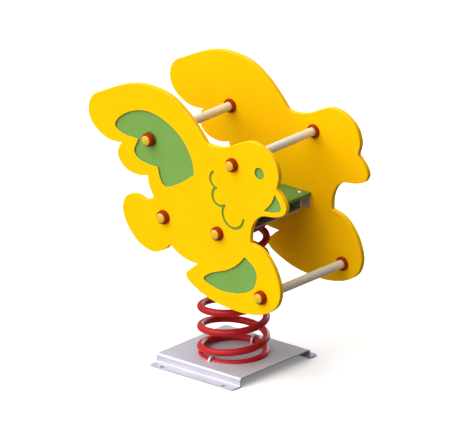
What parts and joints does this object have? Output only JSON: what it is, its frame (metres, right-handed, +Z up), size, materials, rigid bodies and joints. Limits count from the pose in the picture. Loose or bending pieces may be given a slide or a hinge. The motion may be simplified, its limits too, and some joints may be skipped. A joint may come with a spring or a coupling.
{
  "type": "playground spring rider",
  "caption": "Playground spring rider: bird-shaped side panels carry a seat and crossbars, on a coil spring clamped to a folded steel ground plate, so that it rocks to and fro.",
  "frame": {"origin": "on the ground, in the middle of the four anchor holes, under the spring's axis", "axes": "+X the way the bird flies, +Y its left side, +Z up along the spring's axis"},
  "size_m": [0.712, 0.395, 0.8163],
  "materials": {
    "panel": "satin",
    "inlay": "satin",
    "seat": "satin",
    "cap": "gloss",
    "lid": "gloss",
    "bar": "satin",
    "spring": "gloss",
    "galvanised": "satin",
    "bracket": "satin",
    "zinc": "satin"
  },
  "bodies": {
    "base": {"base_plate": "galvanised", "lower_u_bolts": "zinc", "lower_u_bolt_washers": "zinc", "lower_u_bolt_nuts": "zinc"},
    "spring": {"coil_spring": "spring"},
    "rider": {"upper_u_bolts": "zinc", "upper_u_bolt_washers": "zinc", "upper_u_bolt_nuts": "zinc", "seat_bracket": "bracket", "seat_board": "seat", "seat_bolts": "zinc", "seat_bolt_washers": "zinc", "seat_bolt_nuts": "zinc", "right_panel": "panel", "left_panel": "panel", "right_wing_inlay": "inlay", "right_foot_inlay": "inlay", "right_beak_inlay": "inlay", "right_eye_inlay": "inlay", "right_neck_inlay": "inlay", "left_wing_inlay": "inlay", "left_foot_inlay": "inlay", "left_beak_inlay": "inlay", "left_eye_inlay": "inlay", "left_neck_inlay": "inlay", "handle_bar": "bar", "back_bar": "bar", "foot_bar": "bar", "handle_bar_plugs": "zinc", "back_bar_plugs": "zinc", "foot_bar_plugs": "zinc", "handle_bar_collars": "cap", "back_bar_collars": "cap", "foot_bar_collars": "cap", "right_bar_bolts": "zinc", "left_bar_bolts": "zinc", "right_panel_bolts": "zinc", "left_panel_bolts": "zinc", "panel_bolt_washers": "zinc", "panel_bolt_nuts": "zinc", "right_cap_bases": "cap", "left_cap_bases": "cap", "right_cap_lids": "lid", "left_cap_lids": "lid"}
  },
  "joints": [
    {"name": "rock_fore_aft", "type": "hinge", "parent": "base", "child": "spring", "pos_m": [0, 0, 0.134], "axis": [0, 1, 0], "range_deg": [-20, 20], "stiffness_Nm_per_rad": 550, "deforming": ["coil_spring"]},
    {"name": "rock_sideways", "type": "hinge", "parent": "spring", "child": "rider", "pos_m": [0, 0, 0.332], "axis": [1, 0, 0], "range_deg": [-12, 12], "stiffness_Nm_per_rad": 550, "deforming": ["coil_spring"]}
  ]
}
